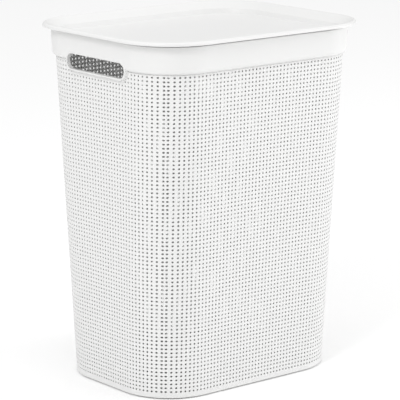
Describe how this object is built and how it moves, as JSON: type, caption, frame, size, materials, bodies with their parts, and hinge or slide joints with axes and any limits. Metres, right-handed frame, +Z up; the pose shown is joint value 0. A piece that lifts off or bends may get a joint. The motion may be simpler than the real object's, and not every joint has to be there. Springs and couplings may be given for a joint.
{
  "type": "laundry hamper with lid",
  "caption": "Tall rounded-rectangle laundry hamper: tapered side wall, floor with ring foot, smooth rim band with hand slots, and a lift-off lid with a sunken panel.",
  "frame": {"origin": "centre of the base, on the surface that the hamper stands on", "axes": "+Z up through the lid, X along the long sides with a hand slot at each end, front long side towards -Y"},
  "size_m": [0.4062, 0.332, 0.519],
  "materials": {
    "basket_plastic": "white polypropylene, satin, faint moulding grain",
    "lid_plastic": "white polypropylene, satin, faint moulding grain"
  },
  "bodies": {
    "basket": {"floor_pan": "basket_plastic", "front_wall": "basket_plastic", "right_wall": "basket_plastic", "back_wall": "basket_plastic", "left_wall": "basket_plastic", "rim_band": "basket_plastic", "left_handle_surround": "basket_plastic", "right_handle_surround": "basket_plastic"},
    "lid": {"lid": "lid_plastic"}
  },
  "joints": [
    {"name": "lid_lift", "type": "slide", "parent": "basket", "child": "lid", "axis": [0, 0, 1], "range_m": [0, 0.3]}
  ]
}
